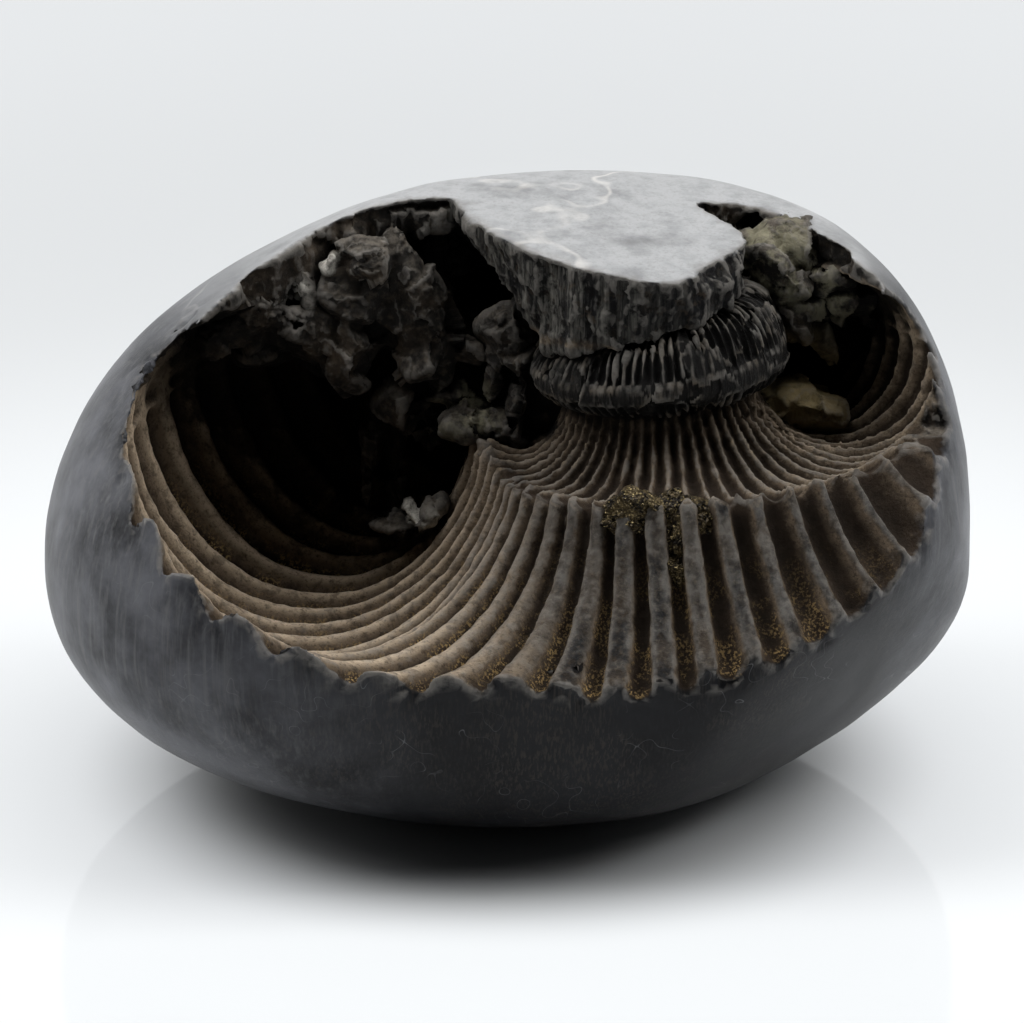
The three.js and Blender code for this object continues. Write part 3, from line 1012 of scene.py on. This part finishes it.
def river_worn_limestone(name="river_worn_limestone"):
    """Dense dark limestone, tumbled in a river.

    Its skin has a satin gloss with pale scratches and a painted sheen on its flanks, and the plug's top is
    painted pale as a sheen, with veins; the mould holds tan silt and golden sand in its grooves, with
    painted shade in their floors, painted highlights on the crests and painted light on the right inner
    ribs; broken faces stay near black, places that see little sky are painted black as shade, and proud
    edges are partly rubbed pale and partly painted as highlights.
    """
    colours = settings().colours
    material, tree = new_material(name)
    add = partial(add_node, tree)
    place = add("ShaderNodeTexCoord").outputs["Object"]
    mm = add(VECTOR, {0: place, "Scale": 1000.0}, "SCALE")
    mark = {
        name: add("ShaderNodeAttribute", attribute_name=name).outputs["Fac"]
        for name in MARKS
    }
    axes = add("ShaderNodeSeparateXYZ", (mm,)).outputs
    facing = add("ShaderNodeSeparateXYZ", (add("ShaderNodeNewGeometry").outputs["Normal"],)).outputs
    up = add(RANGE, (facing[2], 0.1, 0.8))
    open_sky = add(RANGE, (mark["sky"], 0.12, 0.55))
    upright = add(VECTOR, (mm, (1.0, 1.0, 0.05)), "MULTIPLY")
    slanted = add("ShaderNodeMapping", {0: mm, 2: (0.3, 0.9, 0.5), 3: (1.0, 0.03, 1.0)})

    # Skin: blue-black, with faint clouds, upright streaks and pale scratches; painted sheen on the flanks;
    # the cap's up-facing top is painted pale as a sheen, with veins
    # Painted sheen: the plug's up-facing top is painted pale, in place of the gloss it catches; its veins
    # are real
    cap_height = add(RANGE, (axes[2], 54.0, 64.0))
    cap = every(tree, cap_height, add(RANGE, (facing[2], 0.6, 0.95)))
    # Painted sheen: the skin's left and right flanks are painted paler, in place of the gloss they catch
    left = add(RANGE, (axes[0], -8.0, -46.0))
    right = add(RANGE, (axes[0], 42.0, 54.0))
    painted_sheen_flank = add(MATH, (left, right), "MAXIMUM")
    skin = layered(tree, (*colours.skin, 1), [
        (patches(tree, mm, 0.07, 0.4, 0.7, most=0.75), colours.pale_skin),
        (patches(tree, mm, 1.3, 0.5, 0.8, most=0.35), colours.pale_skin),
        (patches(tree, upright, 2.2, 0.52, 0.8, detail=3.0, most=0.5), colours.pale_skin),
        (every(tree, patches(tree, upright, 3.6, 0.5, 0.62, detail=2.0, most=0.8),
               patches(tree, mm, 0.06, 0.42, 0.6)), "#332f2b"),
        # Painted sheen on the flanks
        (every(tree, painted_sheen_flank, patches(tree, mm, 0.1, 0.3, 0.65)), "#64656a"),
        (every(tree, hairlines(tree, slanted, 0.42, 0.006, 0.0),
               patches(tree, mm, 0.1, 0.5, 0.6, most=0.5)), "#77787a"),
        # Painted sheen on the flanks, in upright streaks
        (every(tree, painted_sheen_flank, patches(tree, upright, 1.1, 0.5, 0.7, most=0.5)), "#6b6b6b"),
        # Painted sheen on the cap's top, varied in patches
        (every(tree, cap, patches(tree, mm, 0.12, 0.05, 0.5, most=0.95)), colours.cap),
        (every(tree, cap, patches(tree, mm, 0.5, 0.45, 0.8, most=0.5)), "#6f7174"),
        (every(tree, cap, patches(tree, mm, 2.4, 0.5, 0.7, most=0.35)), "#7d7a76"),
        (every(tree, cap, hairlines(tree, mm, 0.04, 0.01),
               patches(tree, mm, 0.1, 0.4, 0.6, most=0.7)), "#dcd9d4"),
    ])
    # Mould: grey pillars on the right, brown bands on the left, tan silt along the grooves and sand in them;
    # painted highlights on the crests, painted light on the right inner ribs, painted shade in the groove
    # floors
    groove = mark["groove"]
    brown_side = add(RANGE, (axes[0], 6.0, -12.0))
    # Painted light: the inner ribs on the right are painted pale, as if lit
    painted_light_right_side = add(RANGE, (axes[0], 27.0, 34.0))
    painted_light_right_side = every(tree, painted_light_right_side, mark["inner"])
    border = add(RANGE, (groove, 0.03, 0.25))
    # Painted shade: the floors of deep grooves are painted dark brown; golden sand also lies in the low ones
    deep = add(RANGE, (groove, 0.22, 0.7))
    sandy = add(RANGE, (axes[2], 38.0, 28.0))
    # Painted highlight: the crests of the inner ribs and of the left bands are painted pale
    painted_highlight_crest = add(RANGE, (mark["relief"], 0.0, 0.4))
    band_crest_highlight = add(RANGE, (mark["groove"], 0.3, 0.0))
    mould = layered(tree, (*colours.mould, 1), [
        (brown_side, colours.silt),
        # Painted highlight on the crests of the left bands
        (every(tree, brown_side, band_crest_highlight, patches(tree, mm, 0.3, 0.15, 0.45)), "#d2bea4"),
        # Painted light on the right inner ribs
        (every(tree, painted_light_right_side, patches(tree, mm, 0.4, 0.25, 0.5)), "#d2bea4"),
        # Painted highlight on the crests of the inner ribs
        (every(tree, mark["inner"], painted_highlight_crest, patches(tree, mm, 0.8, 0.35, 0.6)), colours.dust),
        (patches(tree, mm, 0.16, 0.4, 0.7, most=0.4), colours.silt),
        (every(tree, border, patches(tree, mm, 0.5, 0.25, 0.55, most=0.9)), colours.silt),
        (patches(tree, mm, 2.0, 0.5, 0.75, most=0.25), colours.dust),
        (patches(tree, mm, 0.7, 0.5, 0.62, most=0.55), "#332a20"),
        (patches(tree, mm, 2.6, 0.54, 0.64, most=0.5), "#241d16"),
        # Painted shade in the groove floors
        (every(tree, deep, patches(tree, mm, 0.6, 0.1, 0.4, most=0.85)), "#241a12"),
        (every(tree, deep, mark["outer"], sandy, patches(tree, mm, 0.22, 0.45, 0.55),
               patches(tree, mm, 3.0, 0.5, 0.6, detail=2.0)), colours.sand),
    ])
    # Broken rock: near black, stained brown, paler where it faces up and sees open sky
    broken = layered(tree, (*colours.broken, 1), [
        (patches(tree, mm, 0.2, 0.5, 0.7, most=0.8), "#4a3f33"),
        (patches(tree, mm, 1.1, 0.5, 0.75, most=0.5), "#5f5548"),
        (every(tree, up, open_sky, patches(tree, mm, 0.8, 0.35, 0.65, most=0.7)), "#7d766c"),
        (every(tree, mark["pale"], patches(tree, mm, 0.22, 0.46, 0.56)), "#a6a187"),
    ])
    leftward = add(RANGE, (axes[0], 22.0, 4.0))
    # Painted shade and highlight: the coil's grooves are painted near black and its ridges pale
    painted_shade_valley = add(RANGE, (groove, 0.15, 0.6))
    painted_highlight_ridge = add(RANGE, (mark["proud"], 0.03, 0.09))
    side = layered(tree, (*linear("#141415"), 1), [
        (patches(tree, upright, 0.9, 0.46, 0.66, most=0.75), "#4c4a46"),
        (every(tree, leftward, patches(tree, upright, 1.4, 0.46, 0.7)), "#7b7972"),
        (patches(tree, mm, 0.8, 0.54, 0.7, most=0.6), "#5a4d3e"),
        (patches(tree, mm, 0.4, 0.52, 0.6, most=0.9), "#0c0c0d"),
        (every(tree, mark["coil"], patches(tree, mm, 0.5, 0.1, 0.4, most=0.85)), "#131211"),
        # Painted shade in the coil's grooves, painted highlight on its ridges
        (every(tree, mark["coil"], painted_shade_valley), "#090807"),
        (every(tree, mark["coil"], painted_highlight_ridge, patches(tree, mm, 0.35, 0.46, 0.62)), "#554d42"),
    ])
    moulded = add(MATH, (mark["outer"], mark["inner"]), "MAXIMUM")
    inside = layered(tree, broken, [(mark["plug"], side), (moulded, mould)])
    # Painted shade: points that see little sky, deep in the cave, are painted near black
    painted_cave_shade = add(RANGE, (mark["sky"], 0.2, 0.06, 0.0, 0.96))
    # Proud edges that see the sky: partly rubbed pale, partly a painted highlight
    edge = add(RANGE, (mark["proud"], 0.03, 0.12, 0.0, 0.5))
    # Painted shade: hollows in the relief are painted dark
    hollow = add(RANGE, (mark["relief"], -0.12, -0.55, 0.0, 0.6))
    inside = layered(tree, inside, [
        # Painted shade in the hollows
        (hollow, "#1c1712"),
        # Painted shade deep in the cave
        (painted_cave_shade, "#0b0a09"),
        (every(tree, mark["tan"], patches(tree, mm, 0.5, 0.2, 0.5)), "#a5936a"),
        (every(tree, mark["crystal"], patches(tree, mm, 1.2, 0.3, 0.55)), "#c9c5bb"),
    ])
    colour = layered(tree, inside, [
        (mark["skin"], skin),
        # Pale edges, partly rubbed and partly a painted highlight
        (every(tree, edge, open_sky, patches(tree, mm, 0.5, 0.3, 0.55)), colours.edge),
    ])

    rough = add(RANGE, (mark["skin"], 0.0, 1.0, 0.74, 0.36))
    grit = add(NOISE, {"Vector": mm, "Scale": 1.8, "Detail": 8.0, "Roughness": 0.72})
    bump_depth = add(RANGE, (mark["skin"], 0.0, 1.0, 1.0, 0.1))
    bump = add("ShaderNodeBump", {"Strength": bump_depth, "Distance": 0.00035, "Height": grit})
    shader = add("ShaderNodeBsdfPrincipled", {
        "Base Color": colour, "Roughness": rough, "Specular IOR Level": 0.13, "Normal": bump,
    })
    add("ShaderNodeOutputMaterial", {"Surface": shader})
    return material


def tarnished_pyrite():
    """Fine-grained pyrite, brassy and tarnished brown, rough from its many small crystal faces."""
    material, tree = new_material("tarnished_pyrite")
    add = partial(add_node, tree)
    place = add("ShaderNodeTexCoord").outputs["Object"]
    mm = add(VECTOR, {0: place, "Scale": 1000.0}, "SCALE")
    colour = layered(tree, (*linear("#18130e"), 1), [
        (patches(tree, mm, 0.9, 0.42, 0.62), settings().colours.pyrite),
        # Painted glints: pale brassy specks in place of light caught by the crystal faces
        (patches(tree, mm, 3.5, 0.56, 0.66), "#a8966a"),
    ])
    grains = add("ShaderNodeTexVoronoi", {"Vector": mm, "Scale": 2.5})
    bump = add("ShaderNodeBump", {"Strength": 0.9, "Distance": 0.0004, "Height": grains.outputs["Distance"]})
    shader = add("ShaderNodeBsdfPrincipled", {
        "Base Color": colour, "Metallic": 0.7, "Roughness": 0.42, "Normal": bump,
    })
    add("ShaderNodeOutputMaterial", {"Surface": shader})
    return material


# Operators, one for each piece and one for the stage


class SHALIGRAM_OT_stone_body(bpy.types.Operator):
    """Carve the pebble open over the ammonite's moulds, and leave the plug over its core"""

    bl_idname = "shaligram.stone_body"
    bl_label = "Stone Body"

    def execute(self, context):
        weather = settings().weather
        skin = pebble("skin")
        outer, inner, cap = outer_cast(), inner_cast(), plug()
        body, filler = (twin(shape) for shape in (skin, cap))
        for tool in (outer, inner):
            carve(body, tool)
        cutters = [mouth(), *(chunk("hollow", *h, seed=90 + i, cuts=4) for i, h in enumerate(HOLLOWS))]
        for tool in cutters:
            carve(body, tool)
            drop(tool)
        carve(filler, skin, "INTERSECT")
        whole = fused("whole", [body, filler], weather.grain / MM, 1)
        grow(whole, marks_tree(), {"Pebble": skin, "Outer Cast": outer, "Inner Cast": inner, "Plug": cap})
        for each in (skin, outer, inner, cap):
            drop(each)
        rough, chips, seed = weather.roughness / MM, weather.chips / MM, float(weather.seed)
        grow(whole, weather_tree(), {"Roughness": rough, "Chips": chips, "Seed": seed})
        relief_marks(whole.data)
        shade = joined("shade", [*rocks(), core_whorl(rings=100, sides=17)])
        made = surveyed(whole, MOST_TRIANGLES, shade)
        drop(shade)
        finish_piece(made, "stone_body", river_worn_limestone(), ["stone"])
        return {"FINISHED"}


def rocks():
    """All lumps of broken rock and crystals, one object each."""
    return [chunk("rock", *r, seed=20 + i) for i, r in enumerate([*ROCKS, *CRYSTALS])]


def core_whorl(rings, sides):
    """The ribbed coil round the core, worn along its keel and in patches."""
    size = settings().mould
    return whorl(
        "core_coil", CORE_STATIONS, CORE_RIBS, (rings, sides), size.coil_ribs, size.coil_depth,
        fade=-2.0, keel=0.4, wander=0.7, worn=0.75,
    )


class SHALIGRAM_OT_broken_rock(bpy.types.Operator):
    """Hang the broken rock and its pale crystals under the roof"""

    bl_idname = "shaligram.broken_rock"
    bl_label = "Broken Rock"

    def execute(self, context):
        weather = settings().weather
        whole = fused("rocks", rocks(), ROCK_GRAIN, 1)
        values = {"Roughness": weather.roughness / MM * 0.7, "Chips": 0.0, "Seed": weather.seed + 1.0}
        grow(whole, weather_tree(), values)
        relief_marks(whole.data)
        points = np.array([v.co[:] for v in whole.data.vertices])
        near = [np.linalg.norm((points - c[0]) / c[1], axis=1) for c in CRYSTALS]
        store_mark(whole.data, "crystal", np.clip(1.6 - np.min(near, axis=0), 0, 0.5) * 2)
        for name, places in (("pale", PALE_PLACES), ("tan", TAN_PLACES)):
            reach = [np.linalg.norm(points - at, axis=1) / size for at, size in places]
            store_mark(whole.data, name, np.clip(1.2 - np.min(reach, axis=0), 0, 1))
        made = surveyed(whole, ROCK_TRIANGLES, bpy.data.objects["stone_body"], 1 / MM)
        finish_piece(made, "broken_rock", river_worn_limestone("broken_limestone"), ["stone"])
        return {"FINISHED"}


class SHALIGRAM_OT_core_coil(bpy.types.Operator):
    """Wind the ribbed inner coil round the core"""

    bl_idname = "shaligram.core_coil"
    bl_label = "Core Coil"

    def execute(self, context):
        whole = core_whorl(rings=1100, sides=87)
        store_mark(whole.data, "plug", np.ones(len(whole.data.vertices)))
        store_mark(whole.data, "coil", np.ones(len(whole.data.vertices)))
        grow(whole, weather_tree(), {"Roughness": 0.35, "Chips": 0.0, "Seed": 5.0})
        relief_marks(whole.data)
        made = surveyed(whole, MOST_TRIANGLES, bpy.data.objects["stone_body"], 1 / MM)
        finish_piece(made, "core_coil", river_worn_limestone("coil_limestone"), ["stone"])
        return {"FINISHED"}


class SHALIGRAM_OT_pyrite_crust(bpy.types.Operator):
    """Grow the crust of pyrite crystals on the ledge"""

    bl_idname = "shaligram.pyrite_crust"
    bl_label = "Pyrite Crust"

    def execute(self, context):
        made = fused("crust", [chunk("lump", *c, seed=60 + i) for i, c in enumerate(CRUST)], CRUST_GRAIN)
        values = {"Roughness": 1.6, "Chips": 0.0, "Seed": 3.0}
        grow(made, weather_tree(), values)
        finish_piece(made, "pyrite_crystals", tarnished_pyrite(), ["pyrite_crust"])
        return {"FINISHED"}


# Each soft light: its place, the height over the origin that it looks at, its size and its watts.
LIGHTS = (
    ("top_light", (0.0, 0.0, 0.65), 0.0, (1.8, 0.28), 5.6),
    ("left_top_light", (-0.45, -0.05, 0.45), 0.04, (0.3, 0.3), 1.3),
    ("right_top_light", (0.45, -0.05, 0.45), 0.04, (0.3, 0.3), 1.3),
    ("left_light", (-0.8, 0.3, 0.3), 0.03, (0.5, 0.5), 0.8),
    ("right_light", (0.8, 0.35, 0.3), 0.03, (0.5, 0.5), 0.8),
)
# Rings of painted light on the floor, by distance from the middle: where each starts, where it is full,
# what it adds; inside the first the floor gets none, which leaves a painted shadow under the stone.
PAINTED_FLOOR_LIGHT_RINGS = ((0.034, 0.054, 0.4), (0.062, 0.2, -0.2), (0.2, 0.45, 0.17))
AIM_HEIGHT = 0.0268
AIM_SHIFT = (0.0006, 0.00484)  # how far the camera looks past that height's middle, across and up


class SHALIGRAM_OT_stage(bpy.types.Operator):
    """Lay the glossy white floor, hang the soft lights and set the camera"""

    bl_idname = "shaligram.stage"
    bl_label = "Stage"

    def execute(self, context):
        scene = context.scene
        stage = settings().stage
        self.floor()
        self.camera(stage)
        for light in LIGHTS:
            self.softbox(*light)
        self.white_room(scene)
        scene.view_settings.view_transform = "Standard"
        return {"FINISHED"}

    def white_room(self, scene):
        """A white room: bright in reflections but for the dark side where the photographer stands."""
        world = bpy.data.worlds.new("white_room")
        world.use_nodes = True
        tree = world.node_tree
        tree.nodes.clear()
        add = partial(add_node, tree)
        side = add("ShaderNodeSeparateXYZ", (add("ShaderNodeTexCoord").outputs["Generated"],))
        dim = add(RANGE, (side.outputs[1], -0.6, 0.7, 0.01, 0.16))
        shiny = add(RANGE, (side.outputs[1], -0.5, 0.4, 0.02, 0.7))
        path = add("ShaderNodeLightPath").outputs
        lit = add(MIX, {0: path["Is Glossy Ray"], 2: dim, 3: shiny})
        strength = add(MIX, {0: path["Is Camera Ray"], 2: lit, 3: 0.85})
        glow = add("ShaderNodeBackground", {"Color": (*linear("#f4f6f8"), 1), "Strength": strength})
        add("ShaderNodeOutputWorld", {"Surface": glow})
        scene.world = world

    def floor(self):
        """A sheet of glossy white acrylic with painted light: a glow in rings away from the stone, none
        under it.
        """
        size = 3.0
        points = [(-size, -size, 0), (size, -size, 0), (size, size, 0), (-size, size, 0)]
        floor = mesh_object("floor", points, [(0, 1, 2, 3)])
        material, tree = new_material("glossy_white_acrylic")
        add = partial(add_node, tree)
        place = add("ShaderNodeTexCoord").outputs["Object"]
        away = add(VECTOR, (place,), "LENGTH").outputs["Value"]
        # Painted light: the floor's glow, none under the stone, where it stays dark as a painted shadow
        glow = 0.0
        for start, end, more in PAINTED_FLOOR_LIGHT_RINGS:
            ring = add(RANGE, (away, start, end, 0.0, more), interpolation_type="SMOOTHSTEP")
            glow = add(MATH, (ring, glow), "ADD")
        shader = add("ShaderNodeBsdfPrincipled", {
            "Base Color": (*linear("#c6c8c9"), 1), "Roughness": 0.06, "IOR": 1.49,
            "Emission Color": (*linear("#f0f3f6"), 1), "Emission Strength": glow,
        })
        add("ShaderNodeOutputMaterial", {"Surface": shader})
        floor.data.materials.append(material)

    def softbox(self, name, at, aim, size, power):
        """A rectangular area light."""
        light = bpy.data.lights.new(name, "AREA")
        light.shape = "RECTANGLE"
        light.size, light.size_y = size
        light.energy = power
        lamp = linked(name, light)
        lamp.location = at
        lamp.rotation_euler = (Vector((0.0, 0.0, aim)) - Vector(at)).to_track_quat("-Z", "Y").to_euler()

    def camera(self, stage):
        """Looks along +Y and down, with the stone a little below the middle of the picture."""
        e = stage.elevation
        forward = Vector((0, cos(e), -sin(e)))
        right, up = Vector((1, 0, 0)), Vector((0, sin(e), cos(e)))
        middle = Vector((0, 0, AIM_HEIGHT)) + right * AIM_SHIFT[0] + up * AIM_SHIFT[1]
        view = bpy.data.cameras.new("camera")
        view.lens = stage.lens
        camera = linked("camera", view)
        camera.location = middle - forward * stage.distance
        camera.rotation_euler = forward.to_track_quat("-Z", "Y").to_euler()
        bpy.context.scene.camera = camera


PIECES = (
    SHALIGRAM_OT_stone_body, SHALIGRAM_OT_broken_rock, SHALIGRAM_OT_core_coil, SHALIGRAM_OT_pyrite_crust,
)


class ShaligramSettings(bpy.types.PropertyGroup):
    pebble: PointerProperty(type=PebbleSizes)
    mould: PointerProperty(type=MouldSizes)
    weather: PointerProperty(type=WeatherSizes)
    colours: PointerProperty(type=StoneColours)
    stage: PointerProperty(type=StageSizes)


class SHALIGRAM_PT_sidebar(bpy.types.Panel):
    """Sizes, colours and makers of the shaligram"""

    bl_label = "Shaligram"
    bl_space_type = "VIEW_3D"
    bl_region_type = "UI"
    bl_category = "Shaligram"

    def draw(self, context):
        for group_name in ("pebble", "mould", "weather", "colours", "stage"):
            group = getattr(context.scene.shaligram, group_name)
            box = self.layout.box()
            for name in group.__annotations__:
                box.prop(group, name)
        for maker in (*PIECES, SHALIGRAM_OT_stage):
            self.layout.operator(maker.bl_idname)


CLASSES = (
    PebbleSizes, MouldSizes, WeatherSizes, StoneColours, StageSizes, ShaligramSettings,
    *PIECES, SHALIGRAM_OT_stage, SHALIGRAM_PT_sidebar,
)


def register():
    for each in CLASSES:
        bpy.utils.register_class(each)
    bpy.types.Scene.shaligram = PointerProperty(type=ShaligramSettings)


def unregister():
    del bpy.types.Scene.shaligram
    for each in reversed(CLASSES):
        bpy.utils.unregister_class(each)


def main():
    register()
    bpy.ops.shaligram.stage()
    bpy.ops.shaligram.stone_body()
    bpy.ops.shaligram.broken_rock()
    bpy.ops.shaligram.core_coil()
    bpy.ops.shaligram.pyrite_crust()


if __name__ == "__main__":
    main()
